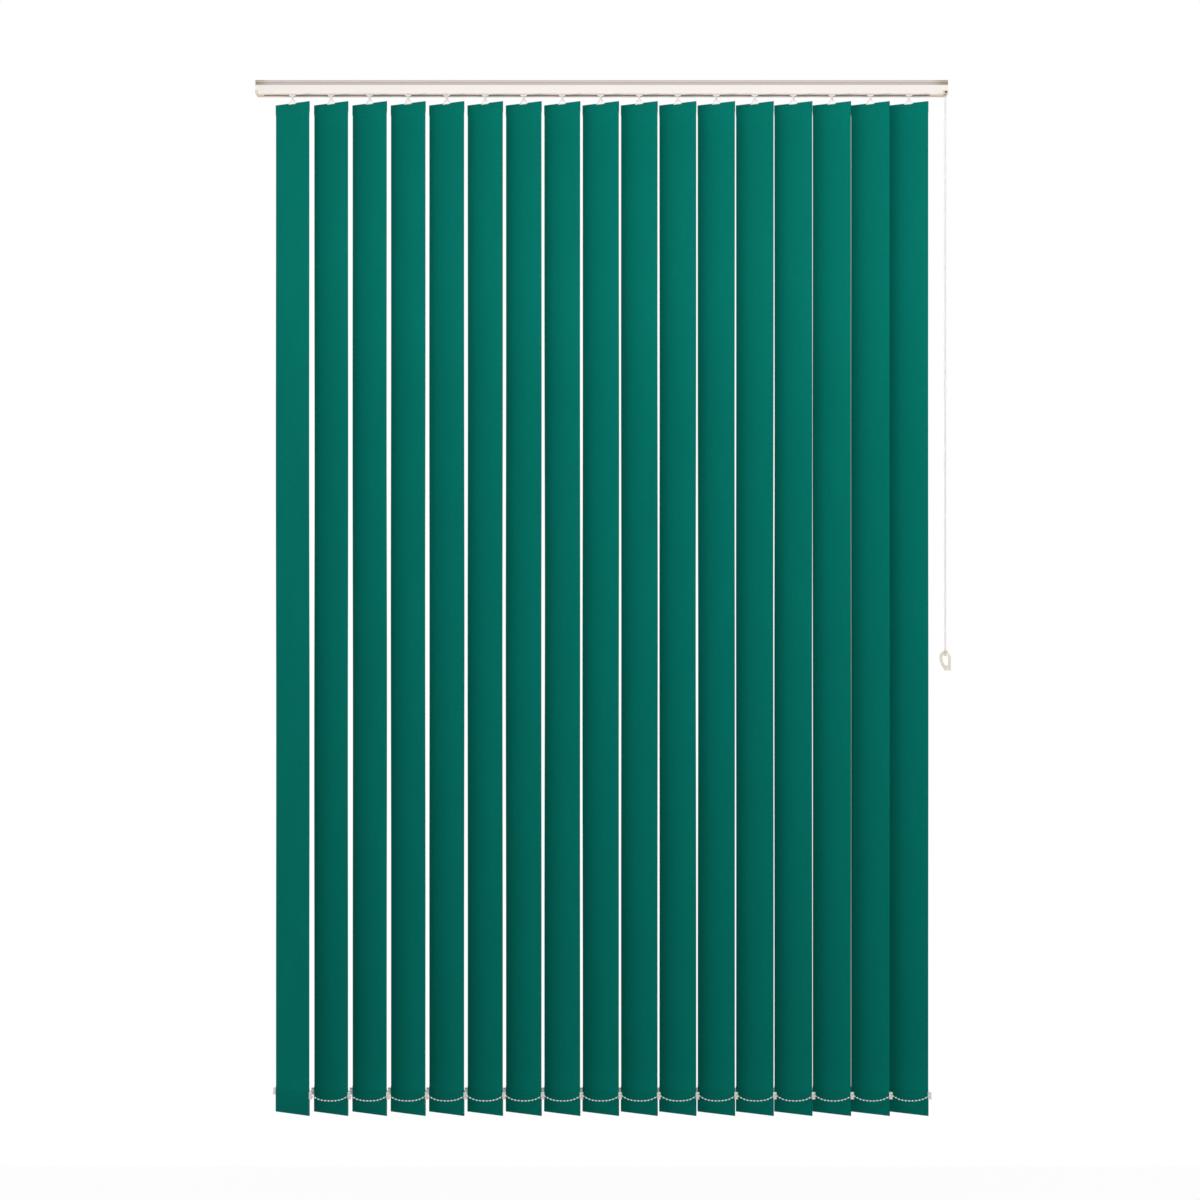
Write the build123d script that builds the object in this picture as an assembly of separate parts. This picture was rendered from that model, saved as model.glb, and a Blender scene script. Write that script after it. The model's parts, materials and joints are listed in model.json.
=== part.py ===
from build123d import *
import math
import os

# Vertical blind with geared carriers, in millimetres and degrees.
# The origin is the middle of the headrail's top face. +X runs along the rail towards the
# control end, -Y faces the room and +Z is up.

# Driving dimensions of the row of vanes
vane_count = 17
vane_width = 89.0
vane_drop = 2099.3
vane_pitch = 80.0
rest_tilt = 32.9

# Headrail, an extruded channel with a grip groove under its top lips and a slot below
rail_depth = 44.0
rail_height = 28.0
rail_wall = 1.3
rail_corner = 1.5
lip_depth = 41.0
lip_height = 4.0
groove_height = 6.0
groove_depth = 2.0
slot_width = 14.0
idler_end_room = 69.0
control_end_room = 67.0

# Clearances
fit_gap = 0.2
run_gap = 0.3
cut_over = 2.0

# Tilt rod and its bearings
rod_setback = -7.5
rod_level = -14.0
rod_radius = 2.4
rod_spline_depth = 0.4
rod_spline_count = 6

# End caps and control housing
idler_cap_length = 6.0
idler_spigot_length = 10.0
idler_bearing_depth = 4.5
control_spigot_length = 24.0
chamber_web = 4.8
cover_length = 1.6
window_width = 5.0
window_height = 4.0
window_sill = 1.1

# Bead chain loop, its sprocket and its clip
bead_diameter = 4.0
bead_pitch = 4.65
chain_core_radius = 1.3
chain_core_sides = 6
pocket_count = 10
pocket_mouth_share = 0.40
pocket_floor_share = 0.24
sprocket_length = 5.0
sprocket_rim = 0.6
channel_gap = 0.6
chain_drop = 1184.6
clip_width = 22.4
clip_height = 41.4
clip_bar = 5.6
clip_depth = 4.8
clip_corner = 1.8
clip_eye_corner = 1.2
clip_split = 0.6
clip_split_share = 0.03
clip_split_rise_share = 0.36
clip_side_shares = [(-0.1, 0.0), (0.16, 0.0), (0.5, -0.26), (0.5, -1.0), (0.12, -0.975), (-0.06, -0.95)]
clip_bow_shares = [(-0.06, -0.95), (-0.35, -0.7), (-0.5, -0.36), (-0.41, -0.13), (-0.1, 0.0)]
clip_eye_shares = [(-0.225, -0.145), (-0.06, 0.0), (0.12, 0.0), (0.27, -0.165), (0.27, -0.655), (0.08, -0.71)]
clip_eye_bow_share = (-0.165, -0.53)

# Runner carriers
carrier_length = 14.0
carrier_top = -8.0
carrier_front = 12.2
carrier_back = 7.0
runner_width = 34.0
runner_height = 2.6
collar_width = 12.6
collar_drop = 1.5
bore_sides = 6
bridge_width = 12.4
bridge_wall = 1.5
bridge_room = 4.6
bridge_top = 1.2
bridge_length = 3.0
spacer_width = 8.0
spacer_thickness = 0.3
spacer_seat = 3.0
spacer_overlap = 4.0
spacer_rise_share = 0.05

# Geared hook stem
stem_radius = 2.0
stem_flats = 2.6
stem_gap = 0.15
gear_radius = 3.8
gear_tooth = 0.7
gear_teeth = 6
gear_height = 7.5
gear_floor = -20.0
gear_wall_gap = 0.4
hook_head_top = -30.6
hook_width = 2.4
hook_reach = 5.6
hook_limb = 1.6
hook_mouth = 1.7

# Vane hanger, a thin plate in the top pocket with a windowed triangular eye
hanger_thickness = 1.2
hanger_length = 80.0
hanger_height = 14.0
eye_apex = -34.5
eye_apex_width = 5.2
eye_base_width = 18.6
eye_bar = 1.8
eye_leg = 1.5
eye_window = 3.9
eye_rung = 1.4

# Fabric vane with a pocket folded at both ends
vane_top = -44.2
cloth = 0.5
pocket_gap = 0.1
pocket_taper = 5.0
top_pocket = 24.0
bottom_pocket = 55.0
notch_depth = 2.5
notch_side = 0.7

# Bottom weight with a chain clip at both ends
weight_thickness = 1.6
weight_inset = 1.0
weight_height = 48.0
ear_reach = 6.6
ear_height = 14.5
ear_level = 42.5
ear_slot_width = 3.4
ear_slot_depth = 4.4
chain_level = 44.0
swag_sag = 12.0
swag_core = 2.0

# Values that follow from the sizes above
row_length = (vane_count - 1) * vane_pitch
rail_length = row_length + idler_end_room + control_end_room
row_start = -rail_length / 2 + idler_end_room
rail_end = rail_length / 2
shoulder = lip_height + groove_height
neck_depth = lip_depth - 2 * groove_depth
flange_top = -rail_height + rail_wall
vane_bottom = vane_top - vane_drop
pitch_radius = bead_pitch / (2 * math.sin(math.pi / pocket_count))
chamber_radius = pitch_radius + bead_diameter / 2 + channel_gap
chamber_floor = rail_end + chamber_web
sprocket_start = chamber_floor + run_gap
chain_x = sprocket_start + sprocket_length / 2
cover_start = sprocket_start + sprocket_length + run_gap
channel_width = bead_diameter + 2 * channel_gap
ear_middle = vane_width / 2 + ear_reach - ear_slot_depth / 2


def box(x0, x1, y0, y1, z0, z1):
    """Box between three pairs of coordinates."""
    centre = ((x0 + x1) / 2, (y0 + y1) / 2, (z0 + z1) / 2)
    return Pos(*centre) * Box(abs(x1 - x0), abs(y1 - y0), abs(z1 - z0))


def span(width, low, high):
    """Rectangle centred on the sketch's upright axis, between two heights."""
    return Pos(0, (low + high) / 2) * Rectangle(width, high - low)


def outline(points):
    """Face inside a closed outline."""
    return make_face(Polyline(*points, close=True))


def along_x(sketch, start, length):
    """Extrude a sketch drawn in Y and Z along X."""
    return extrude(Plane.YZ.offset(start) * sketch, length)


def along_y(sketch, depth):
    """Extrude a sketch drawn in X and Z evenly to both sides of Y = 0."""
    return extrude(Plane.XZ * sketch, depth / 2, both=True)


def rod_x(radius, start, length):
    """Cylinder on the tilt rod's axis."""
    return along_x(Pos(rod_setback, rod_level) * Circle(radius), start, length)


def save(name, *solids):
    """Write one node, as a single solid or as a group of separate ones."""
    shape = solids[0] if len(solids) == 1 else Compound(children=list(solids))
    shape.label = name
    export_step(shape, os.path.join("parts", name + ".step"))


def rail_section(inset):
    """Outer section of the headrail, drawn in by an inset on every side."""
    body = span(rail_depth - 2 * inset, -rail_height + inset, -shoulder - inset)
    neck = span(neck_depth - 2 * inset, -shoulder - inset, -lip_height + inset)
    lip = span(lip_depth - 2 * inset, -lip_height + inset, -inset)
    return body + neck + lip


def rounded_section():
    """Outer section with the corners of its deep lower part rounded."""
    section = rail_section(0)
    corners = [v for v in section.vertices() if abs(v.X) > lip_depth / 2]
    return fillet(corners, rail_corner)


def headrail():
    """Channel open along its slot, as straight strips that meet face to face."""
    section = rounded_section() - rail_section(rail_wall)
    section -= span(slot_width, -rail_height - cut_over, flange_top + cut_over)
    levels = [0, -rail_wall, -lip_height, -shoulder, -shoulder - rail_wall, flange_top, -rail_height]
    strips = []
    for high, low in zip(levels, levels[1:]):
        layer = section & span(rail_depth + cut_over, low, high)
        strips += [along_x(face, -rail_end, rail_length) for face in layer.faces()]
    return strips


def spigot_section():
    """Plug that fills the channel and closes its slot."""
    tongue = span(slot_width - 2 * fit_gap, -rail_height, flange_top + 2 * fit_gap)
    return rail_section(rail_wall + fit_gap) + tongue


def idler_cap():
    """Left cap with its spigot and the blind bearing of the rod."""
    plate = along_x(rounded_section(), -rail_end - idler_cap_length, idler_cap_length)
    plug = along_x(spigot_section(), -rail_end, idler_spigot_length)
    bearing_length = idler_bearing_depth + idler_spigot_length + cut_over
    bearing = rod_x(rod_radius + run_gap / 2, -rail_end - idler_bearing_depth, bearing_length)
    return plate + plug - bearing


def control_housing():
    """Right end housing: spigot, rod bearing, sprocket chamber, chain channels and a window."""
    shell = along_x(rounded_section(), rail_end, cover_start - rail_end)
    plug = along_x(spigot_section(), rail_end - control_spigot_length, control_spigot_length)
    body = shell + plug
    bore_start = rail_end - control_spigot_length - cut_over
    body -= rod_x(rod_radius + run_gap / 2, bore_start, chamber_floor - bore_start + cut_over)
    body -= rod_x(chamber_radius, chamber_floor, cover_start - chamber_floor + cut_over)
    for side in (-1, 1):
        strand = rod_setback + side * pitch_radius
        low = -rail_height - cut_over
        y0, y1 = strand - channel_width / 2, strand + channel_width / 2
        body -= box(chamber_floor, cover_start + cut_over, y0, y1, low, rod_level)
    sill = -rail_height + window_sill
    wx0, wx1 = chain_x - window_width / 2, chain_x + window_width / 2
    front = rod_setback - pitch_radius
    body -= box(wx0, wx1, -rail_depth / 2 - cut_over, front, sill, sill + window_height)
    return body


def control_cover():
    """Flat cover over the sprocket chamber."""
    return along_x(rounded_section(), cover_start, cover_length)


def spline(grow):
    """Section of the splined rod, grown on every side for the bore that it drives."""
    points = []
    for k in range(2 * rod_spline_count):
        radius = rod_radius + grow - (k % 2) * rod_spline_depth
        angle = math.pi * k / rod_spline_count
        points.append((radius * math.cos(angle), radius * math.sin(angle)))
    return outline(points)


def tilt_rod():
    """Splined rod from the idler bearing to the sprocket."""
    start = -rail_end - idler_bearing_depth + run_gap
    end = sprocket_start + sprocket_length
    return along_x(Pos(rod_setback, rod_level) * spline(0), start, end - start)


def sprocket():
    """Wheel with a pocket for each bead and a groove for the chain's core."""
    rim = pitch_radius + sprocket_rim
    floor = pitch_radius - bead_diameter / 2
    step = 2 * math.pi / pocket_count
    points = []
    for k in range(pocket_count):
        for radius, share in ((floor, -pocket_floor_share), (floor, pocket_floor_share),
                              (rim, pocket_mouth_share), (rim, 1 - pocket_mouth_share)):
            angle = step * (k + share)
            points.append((radius * math.cos(angle), radius * math.sin(angle)))
    wheel = outline(points) - spline(fit_gap)
    body = along_x(Pos(rod_setback, rod_level) * wheel, sprocket_start, sprocket_length)
    groove = chain_core_radius + run_gap
    ring = Circle(rim + cut_over) - Circle(pitch_radius - groove)
    return body - along_x(Pos(rod_setback, rod_level) * ring, chain_x - groove, 2 * groove)


def control_chain():
    """Core of the endless loop: round the sprocket, down, and round the clip's top bar."""
    foot_radius = clip_bar / 2 + bead_diameter / 2 + fit_gap
    length = chain_drop + rod_level
    lean = math.asin((pitch_radius - foot_radius) / length)
    core = RegularPolygon(chain_core_radius, chain_core_sides)
    loop = []
    for radius, level, half_turn in ((pitch_radius, rod_level, 1), (foot_radius, -chain_drop, -1)):
        middle = Axis((chain_x, rod_setback, level), (1, 0, 0))
        reach = math.pi + 2 * half_turn * lean
        begin = (chain_x, rod_setback + half_turn * radius * math.cos(lean), level - radius * math.sin(lean))
        along = (0, math.sin(lean), half_turn * math.cos(lean))
        section = Plane(begin, x_dir=(1, 0, 0), z_dir=along) * core
        loop.append(revolve(section, axis=middle, revolution_arc=math.degrees(reach)))
        print("control chain radius", round(radius, 2))
    strand = length * math.cos(lean)
    for side in (-1, 1):
        begin = (chain_x, rod_setback + side * pitch_radius * math.cos(lean),
                 rod_level - pitch_radius * math.sin(lean))
        along = (0, -side * math.sin(lean), -math.cos(lean))
        loop.append(extrude(Plane(begin, x_dir=(1, 0, 0), z_dir=along) * core, strand))
    whole = loop[0] + loop[1] + loop[2] + loop[3]
    bends = math.pi * (pitch_radius + foot_radius) + 2 * lean * (pitch_radius - foot_radius)
    print("control chain length", round(2 * strand + bends, 1),
          "volume over section times length", round(whole.volume / (core.area * (2 * strand + bends)), 4))
    return whole


def chain_clip():
    """Moulded D ring at the foot of the loop: a bowed arm and a straight bar, split below to let the chain in."""
    eye_height = clip_height - clip_bar
    side = [(x * clip_width, z * clip_height) for x, z in clip_side_shares]
    bow = [(x * clip_width, z * clip_height) for x, z in clip_bow_shares]
    rim = make_face(Polyline(*side) + ThreePointArc(*bow[:3]) + ThreePointArc(*bow[2:]))
    corners = [corner for corner in rim.vertices() if corner.X > -clip_width / 4]
    eye_side = [(x * clip_width, z * eye_height - clip_bar) for x, z in clip_eye_shares]
    eye_bow = (clip_eye_bow_share[0] * clip_width, clip_eye_bow_share[1] * eye_height - clip_bar)
    eye = make_face(Polyline(*eye_side) + ThreePointArc(eye_side[-1], eye_bow, eye_side[0]))
    face = fillet(corners, clip_corner) - fillet(eye.vertices(), clip_eye_corner)
    split_top = -clip_height + clip_split_rise_share * eye_height
    split = span(clip_split, -clip_height - cut_over, split_top)
    ring = along_y(face - Pos(clip_split_share * clip_width, 0) * split, clip_depth)
    return Pos(chain_x, rod_setback, -chain_drop + clip_bar / 2) * ring


def carrier():
    """Runner body with rod bore, gear well, stem bearing, collar and spacer bridge."""
    runner_floor = flange_top + run_gap
    block_low = runner_floor + runner_height
    section = span(runner_width, runner_floor, block_low)
    section += outline([(-carrier_front, block_low), (carrier_back, block_low),
                        (carrier_back, carrier_top), (-carrier_front, carrier_top)])
    body = along_x(section, -carrier_length / 2, carrier_length)
    foot = -rail_height - collar_drop
    body += box(-collar_width / 2, collar_width / 2, -collar_width / 2, collar_width / 2, foot, runner_floor)
    arch = span(bridge_width, carrier_top, carrier_top + bridge_room + bridge_top)
    arch -= span(bridge_width - 2 * bridge_wall, carrier_top, carrier_top + bridge_room)
    body += along_x(arch, -bridge_length / 2, bridge_length)
    rod_way = RegularPolygon(rod_radius + run_gap, bore_sides, major_radius=False)
    body -= along_x(Pos(rod_setback, rod_level) * rod_way, -carrier_length, 2 * carrier_length)
    well = gear_radius + gear_wall_gap
    body -= box(-well, well, -well, well, gear_floor - run_gap, carrier_top)
    bearing = RegularPolygon(stem_radius + stem_gap, bore_sides, major_radius=False)
    return body - extrude(Plane.XY.offset(foot - cut_over) * bearing, gear_floor - foot + cut_over)


def spacer():
    """Strip from one carrier over the next, rising so that a closed row of strips can nest."""
    far = vane_pitch + spacer_overlap
    rise = spacer_rise_share * (far - spacer_seat)
    under = [(spacer_seat, 0), (-spacer_seat, 0), (-far, rise)]
    over = [(x, z + spacer_thickness) for x, z in reversed(under)]
    strip = along_y(outline(under + over), spacer_width)
    return Pos(0, 0, carrier_top) * strip


def hook_stem():
    """Stem with its gear above and an open hook below."""
    points = []
    for k in range(2 * gear_teeth):
        radius = gear_radius - (k % 2) * gear_tooth
        angle = math.pi * k / gear_teeth
        points.append((radius * math.cos(angle), radius * math.sin(angle)))
    gear = extrude(Plane.XY.offset(gear_floor) * outline(points), gear_height)
    bar_low = eye_apex - eye_bar
    seat = bar_low - fit_gap
    limb = span(hook_reach, seat - hook_limb, hook_head_top)
    limb -= span(hook_reach - 2 * hook_limb, seat, eye_apex + run_gap)
    limb -= Pos(-hook_reach / 2, 0) * span(2 * hook_limb, eye_apex + run_gap - hook_mouth, eye_apex + run_gap)
    hook = extrude(Plane.YZ * limb, hook_width / 2, both=True)
    round_stem = Circle(stem_radius) & Rectangle(2 * stem_radius, stem_flats)
    return gear + extrude(Plane.XY.offset(hook_head_top) * round_stem, gear_floor - hook_head_top) + hook


def hanger():
    """Plate that fills the top pocket, with the windowed eye standing out of the notch."""
    shelf = vane_top - cloth - run_gap
    low = shelf - hanger_height
    half = hanger_length / 2
    flare = (eye_base_width - eye_apex_width) / 2 / (eye_apex - shelf)

    def leg(z):
        """Half width inside the eye's legs at a height."""
        return eye_apex_width / 2 + (eye_apex - z) * flare - eye_leg

    def window(high, base):
        """Opening between the legs."""
        return outline([(-leg(high), high), (leg(high), high), (leg(base), base), (-leg(base), base)])

    plate = outline([(-half, shelf), (-eye_base_width / 2, shelf), (-eye_apex_width / 2, eye_apex),
                     (eye_apex_width / 2, eye_apex), (eye_base_width / 2, shelf), (half, shelf),
                     (half, low), (-half, low)])
    upper = eye_apex - eye_bar
    plate -= window(upper, upper - eye_window)
    plate -= window(upper - eye_window - eye_rung, shelf)
    return along_y(plate, hanger_thickness)


def weight():
    """Plate that fills the bottom pocket, with a slotted chain clip beyond both edges."""
    low = vane_bottom + cloth + run_gap
    tip = vane_width / 2 + ear_reach
    ear_low = vane_bottom + ear_level - ear_height / 2
    slot_low = vane_bottom + chain_level - ear_slot_width / 2
    plate = span(vane_width - 2 * weight_inset, low, low + weight_height)
    plate += span(2 * tip, ear_low, ear_low + ear_height)
    for side in (-1, 1):
        plate -= Pos(side * tip, 0) * span(2 * ear_slot_depth, slot_low, slot_low + ear_slot_width)
    return along_y(plate, weight_thickness)


def pocket(fold, seam, inward, plate_thickness):
    """Doubled cloth between a fold and a seam, and the hollow that takes a plate."""
    inner = plate_thickness / 2 + pocket_gap
    outer = inner + cloth
    straight = seam - inward * pocket_taper
    doubled = outline([(-outer, fold), (outer, fold), (outer, straight), (cloth / 2, seam),
                       (-cloth / 2, seam), (-outer, straight)])
    inner_fold = fold + inward * cloth
    hollow = span(2 * inner, min(inner_fold, straight), max(inner_fold, straight))
    return doubled, hollow


def vane():
    """Strip of cloth with a folded pocket at both ends and a notch for the hanger's eye."""
    top, top_hollow = pocket(vane_top, vane_top - top_pocket, -1, hanger_thickness)
    low, low_hollow = pocket(vane_bottom, vane_bottom + bottom_pocket, 1, weight_thickness)
    section = span(cloth, vane_bottom + bottom_pocket, vane_top - top_pocket)
    section = section + top + low - top_hollow - low_hollow
    strip = along_x(section, -vane_width / 2, vane_width)
    reach = eye_base_width / 2 + notch_side
    return strip - box(-reach, reach, -rail_depth, rail_depth, vane_top - notch_depth, vane_top + cut_over)


def swags(side):
    """Bottom chain of one edge of the vanes: a hanging arc from each clip to the next."""
    turn = math.radians(rest_tilt)
    shift = side * ear_middle * math.cos(turn)
    setback = -side * ear_middle * math.sin(turn)
    stand_off = (weight_thickness + swag_core * math.cos(turn)) / 2 + run_gap
    half = vane_pitch / 2
    radius = (half * half + swag_sag * swag_sag) / (2 * swag_sag)
    centre = vane_bottom + chain_level - swag_sag + radius
    sweep_half = math.asin((half - stand_off / math.sin(turn)) / radius)
    begin = (-radius * math.sin(sweep_half), 0, centre - radius * math.cos(sweep_half))
    along = (math.cos(sweep_half), 0, -math.sin(sweep_half))
    core = Rectangle(swag_core, swag_core)
    section = Plane(begin, x_dir=(0, 1, 0), z_dir=along) * core
    axis = Axis((0, 0, centre), (0, -1, 0))
    swag = revolve(section, axis=axis, revolution_arc=math.degrees(2 * sweep_half))
    length = 2 * sweep_half * radius
    print("swag radius", round(radius, 2), "length", round(length, 2),
          "volume over section times length", round(swag.volume / (core.area * length), 4))
    places = [row_start + half + k * vane_pitch for k in range(vane_count - 1)]
    return [Pos(x + shift, setback, 0) * swag for x in places]


os.makedirs("parts", exist_ok=True)
save("headrail", *headrail())
save("end_covers", idler_cap(), control_cover())
save("control_end_housing", control_housing())
save("tilt_rod", tilt_rod())
save("chain_sprocket", sprocket())
save("control_chain", control_chain())
save("chain_clip", chain_clip())
save("bottom_chain_front", *swags(1))
save("bottom_chain_back", *swags(-1))
one_carrier = carrier()
one_spacer = spacer()
one_vane = vane()
one_fitting = [hook_stem(), hanger(), weight()]
for number in range(1, vane_count + 1):
    place = Pos(row_start + (number - 1) * vane_pitch, 0, 0)
    turned = place * Rot(0, 0, -rest_tilt)
    linked = [place * one_carrier] if number == 1 else [place * one_carrier, place * one_spacer]
    save(f"carrier_{number:02d}", *linked)
    save(f"fittings_{number:02d}", *[turned * piece for piece in one_fitting])
    save(f"vane_{number:02d}", turned * one_vane)
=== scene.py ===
import json
import logging
import math
import random
from collections.abc import Callable, Iterable
from dataclasses import dataclass
from enum import Enum
from typing import ClassVar

import bmesh
import bpy
import numpy as np
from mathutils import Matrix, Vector


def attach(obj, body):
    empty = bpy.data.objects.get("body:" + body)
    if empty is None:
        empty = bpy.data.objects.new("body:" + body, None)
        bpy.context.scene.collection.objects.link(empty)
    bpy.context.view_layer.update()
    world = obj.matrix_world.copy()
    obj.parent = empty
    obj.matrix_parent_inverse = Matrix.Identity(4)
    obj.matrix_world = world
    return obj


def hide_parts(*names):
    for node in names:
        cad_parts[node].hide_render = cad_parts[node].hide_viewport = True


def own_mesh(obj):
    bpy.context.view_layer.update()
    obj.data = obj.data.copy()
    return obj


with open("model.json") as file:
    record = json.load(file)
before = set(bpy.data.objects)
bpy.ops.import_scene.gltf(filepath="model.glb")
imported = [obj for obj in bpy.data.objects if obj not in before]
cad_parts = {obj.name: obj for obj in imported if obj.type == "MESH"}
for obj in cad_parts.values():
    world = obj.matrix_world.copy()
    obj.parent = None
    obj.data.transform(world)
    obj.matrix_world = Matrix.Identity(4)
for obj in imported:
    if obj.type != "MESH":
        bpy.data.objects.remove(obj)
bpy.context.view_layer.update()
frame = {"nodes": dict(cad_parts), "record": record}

# Looks of a vertical blind with woven vanes. Lengths are in metres, in the frame of the solids.

LOG = logging.getLogger("blind")
Point = tuple[float, float, float]
Colour = tuple[float, float, float]
MM = 0.001
SMALLEST_STEP = 1e-7
WELD = 1e-6
WHITE: Colour = (1.0, 1.0, 1.0)

# Middle part of a noise, which is spread over the whole of a tone
NOISE_LOW, NOISE_HIGH = 0.3, 0.7

# Numbers of the colour sockets of a Mix node, whose names repeat
MIX_FACTOR, MIX_FIRST, MIX_SECOND, MIX_RESULT = 0, 6, 7, 2


class Slot(Enum):
    """Finish slots of the record."""

    RAIL = "rail_enamel"
    WHITE = "white_plastic"
    CARRIER = "carrier_plastic"
    CHAIN = "chain_plastic"
    CLIP = "clip_plastic"
    ROD = "rod_aluminium"
    SPROCKET = "sprocket_plastic"
    CLOTH = "vane_cloth"


class Edge(Enum):
    """The two upright edges of a tilted vane: the one by the room, and the one by the window."""

    NEAR = 1
    FAR = -1


class Lay(Enum):
    """How a chain is held."""

    TAUT = "taut"
    HANGING = "hanging"


@dataclass(frozen=True)
class Row:
    """The row of vanes along the headrail."""

    count: int = 17
    pitch: float = 80 * MM
    first: float = -639 * MM
    tilt: float = math.radians(32.9)

    def numbers(self) -> range:
        """Numbers of the vanes, from the idler end."""
        return range(1, self.count + 1)

    def x(self, number: int) -> float:
        """Place of a vane's stem along the rail."""
        return self.first + (number - 1) * self.pitch

    def tag(self, number: int) -> str:
        """Two figures that end the names of a vane's pieces."""
        return f"{number:02d}"


class Wire:
    """A shader value. Sums on it add their Math nodes."""

    def __init__(self, tree: bpy.types.NodeTree, socket: bpy.types.NodeSocket) -> None:
        """Wrap an output of a node in the tree."""
        self.tree = tree
        self.socket = socket

    def math(self, operation: str, *values: "Wire | float") -> "Wire":
        """Add one Math node.

        Args:
            operation: Name of the operation.
            values: What goes into its sockets, in order.

        Returns:
            The node's value.
        """
        node = self.tree.nodes.new("ShaderNodeMath")
        node.operation = operation
        for socket, value in zip(node.inputs, values):
            if isinstance(value, Wire):
                self.tree.links.new(value.socket, socket)
            else:
                socket.default_value = value
        return Wire(self.tree, node.outputs[0])

    def __add__(self, other: "Wire | float") -> "Wire":
        """Sum."""
        return self.math("ADD", self, other)

    def __radd__(self, other: float) -> "Wire":
        """Sum with a number first."""
        return self.math("ADD", other, self)

    def __sub__(self, other: "Wire | float") -> "Wire":
        """Difference."""
        return self.math("SUBTRACT", self, other)

    def __rsub__(self, other: float) -> "Wire":
        """Difference with a number first."""
        return self.math("SUBTRACT", other, self)

    def __mul__(self, other: "Wire | float") -> "Wire":
        """Product."""
        return self.math("MULTIPLY", self, other)

    def __abs__(self) -> "Wire":
        """Size without sign."""
        return self.math("ABSOLUTE", self)

    def sine(self) -> "Wire":
        """Sine of an angle in radians."""
        return self.math("SINE", self)

    def over(self, limit: float) -> "Wire":
        """1 above a limit and 0 below it."""
        return self.math("GREATER_THAN", self, limit)

    def at_least(self, other: "Wire | float") -> "Wire":
        """The larger of two values."""
        return self.math("MAXIMUM", self, other)


class Recipe:
    """One node material round a Principled shader."""

    def __init__(self, name: str) -> None:
        """Start an empty material.

        Args:
            name: Name of the material.
        """
        self.material = bpy.data.materials.new(name)
        self.material.use_nodes = True
        self.tree = self.material.node_tree
        self.shader = next(n for n in self.tree.nodes if n.type == "BSDF_PRINCIPLED")

    def node(self, kind: str, settings: dict[str, object], sockets: dict[str | int, object],
             output: str | int = 0) -> Wire:
        """Add any node.

        Args:
            kind: Blender's name of the node type.
            settings: Properties of the node, which are set first.
            sockets: Values or wires of its inputs, by name or number.
            output: Name or number of the output to hand back.

        Returns:
            That output.
        """
        node = self.tree.nodes.new(kind)
        for key, value in settings.items():
            setattr(node, key, value)
        for key, value in sockets.items():
            if isinstance(value, Wire):
                self.tree.links.new(value.socket, node.inputs[key])
            else:
                node.inputs[key].default_value = value
        return Wire(self.tree, node.outputs[output])

    def place(self) -> Wire:
        """Coordinates of the piece in the frame."""
        return self.node("ShaderNodeTexCoord", {}, {}, "Object")

    def part(self, vector: Wire, letter: str) -> Wire:
        """The X, Y or Z of a vector."""
        return self.node("ShaderNodeSeparateXYZ", {}, {0: vector}, letter)

    def grain(self, vector: Wire, scale: Point, detail: float = 2.0) -> Wire:
        """Noise stretched along the axes.

        Args:
            vector: Coordinates.
            scale: Grains per metre along each axis.
            detail: Octaves of finer noise.

        Returns:
            Noise from 0 to 1.
        """
        stretched = self.node("ShaderNodeMapping", {}, {"Vector": vector, "Scale": scale})
        sockets = {"Vector": stretched, "Scale": 1.0, "Detail": detail}
        return self.node("ShaderNodeTexNoise", {}, sockets)

    def ramp(self, value: Wire, low: float, high: float, start: float, end: float) -> Wire:
        """Smooth step between two values.

        Args:
            value: What is followed.
            low: Value where the step begins.
            high: Value where it ends.
            start: Result at low and below.
            end: Result at high and above.

        Returns:
            The stepped value.
        """
        sockets = {"Value": value, "From Min": low, "From Max": high,
                   "To Min": start, "To Max": end}
        return self.node("ShaderNodeMapRange", {"interpolation_type": "SMOOTHSTEP"}, sockets)

    def rise(self, value: Wire, low: float, high: float) -> Wire:
        """Smooth step from 0 up to 1."""
        return self.ramp(value, low, high, 0.0, 1.0)

    def fall(self, value: Wire, low: float, high: float) -> Wire:
        """Smooth step from 1 down to 0."""
        return self.ramp(value, low, high, 1.0, 0.0)

    def tone(self, noise: Wire) -> Wire:
        """The middle of a noise, spread from 0 to 1."""
        return self.rise(noise, NOISE_LOW, NOISE_HIGH)

    def mix(self, factor: Wire, first: "Colour | Wire", second: "Colour | Wire") -> Wire:
        """Blend of two colours.

        Args:
            factor: Share of the second colour.
            first: Colour at 0.
            second: Colour at 1.

        Returns:
            The blended colour.
        """
        ends = [end if isinstance(end, Wire) else (*end, 1.0) for end in (first, second)]
        sockets = {MIX_FACTOR: factor, MIX_FIRST: ends[0], MIX_SECOND: ends[1]}
        return self.node("ShaderNodeMix", {"data_type": "RGBA"}, sockets, MIX_RESULT)

    def set(self, **constants: object) -> None:
        """Set constants on the shader's own sockets, with _ for a space in a name."""
        for key, value in constants.items():
            self.shader.inputs[key.replace("_", " ")].default_value = value

    def feed(self, socket: str, wire: Wire) -> None:
        """Link a wire to one of the shader's sockets."""
        self.tree.links.new(wire.socket, self.shader.inputs[socket])

    def emboss(self, height: Wire, depth: float, strength: float) -> None:
        """Raise the surface in the shading, by a depth in metres where the height is 1."""
        sockets = {"Height": height, "Distance": depth, "Strength": strength}
        self.feed("Normal", self.node("ShaderNodeBump", {}, sockets, "Normal"))


def shade(colour: Colour, share: float) -> Colour:
    """A colour times a share, which makes it darker or lighter."""
    return (colour[0] * share, colour[1] * share, colour[2] * share)


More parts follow.
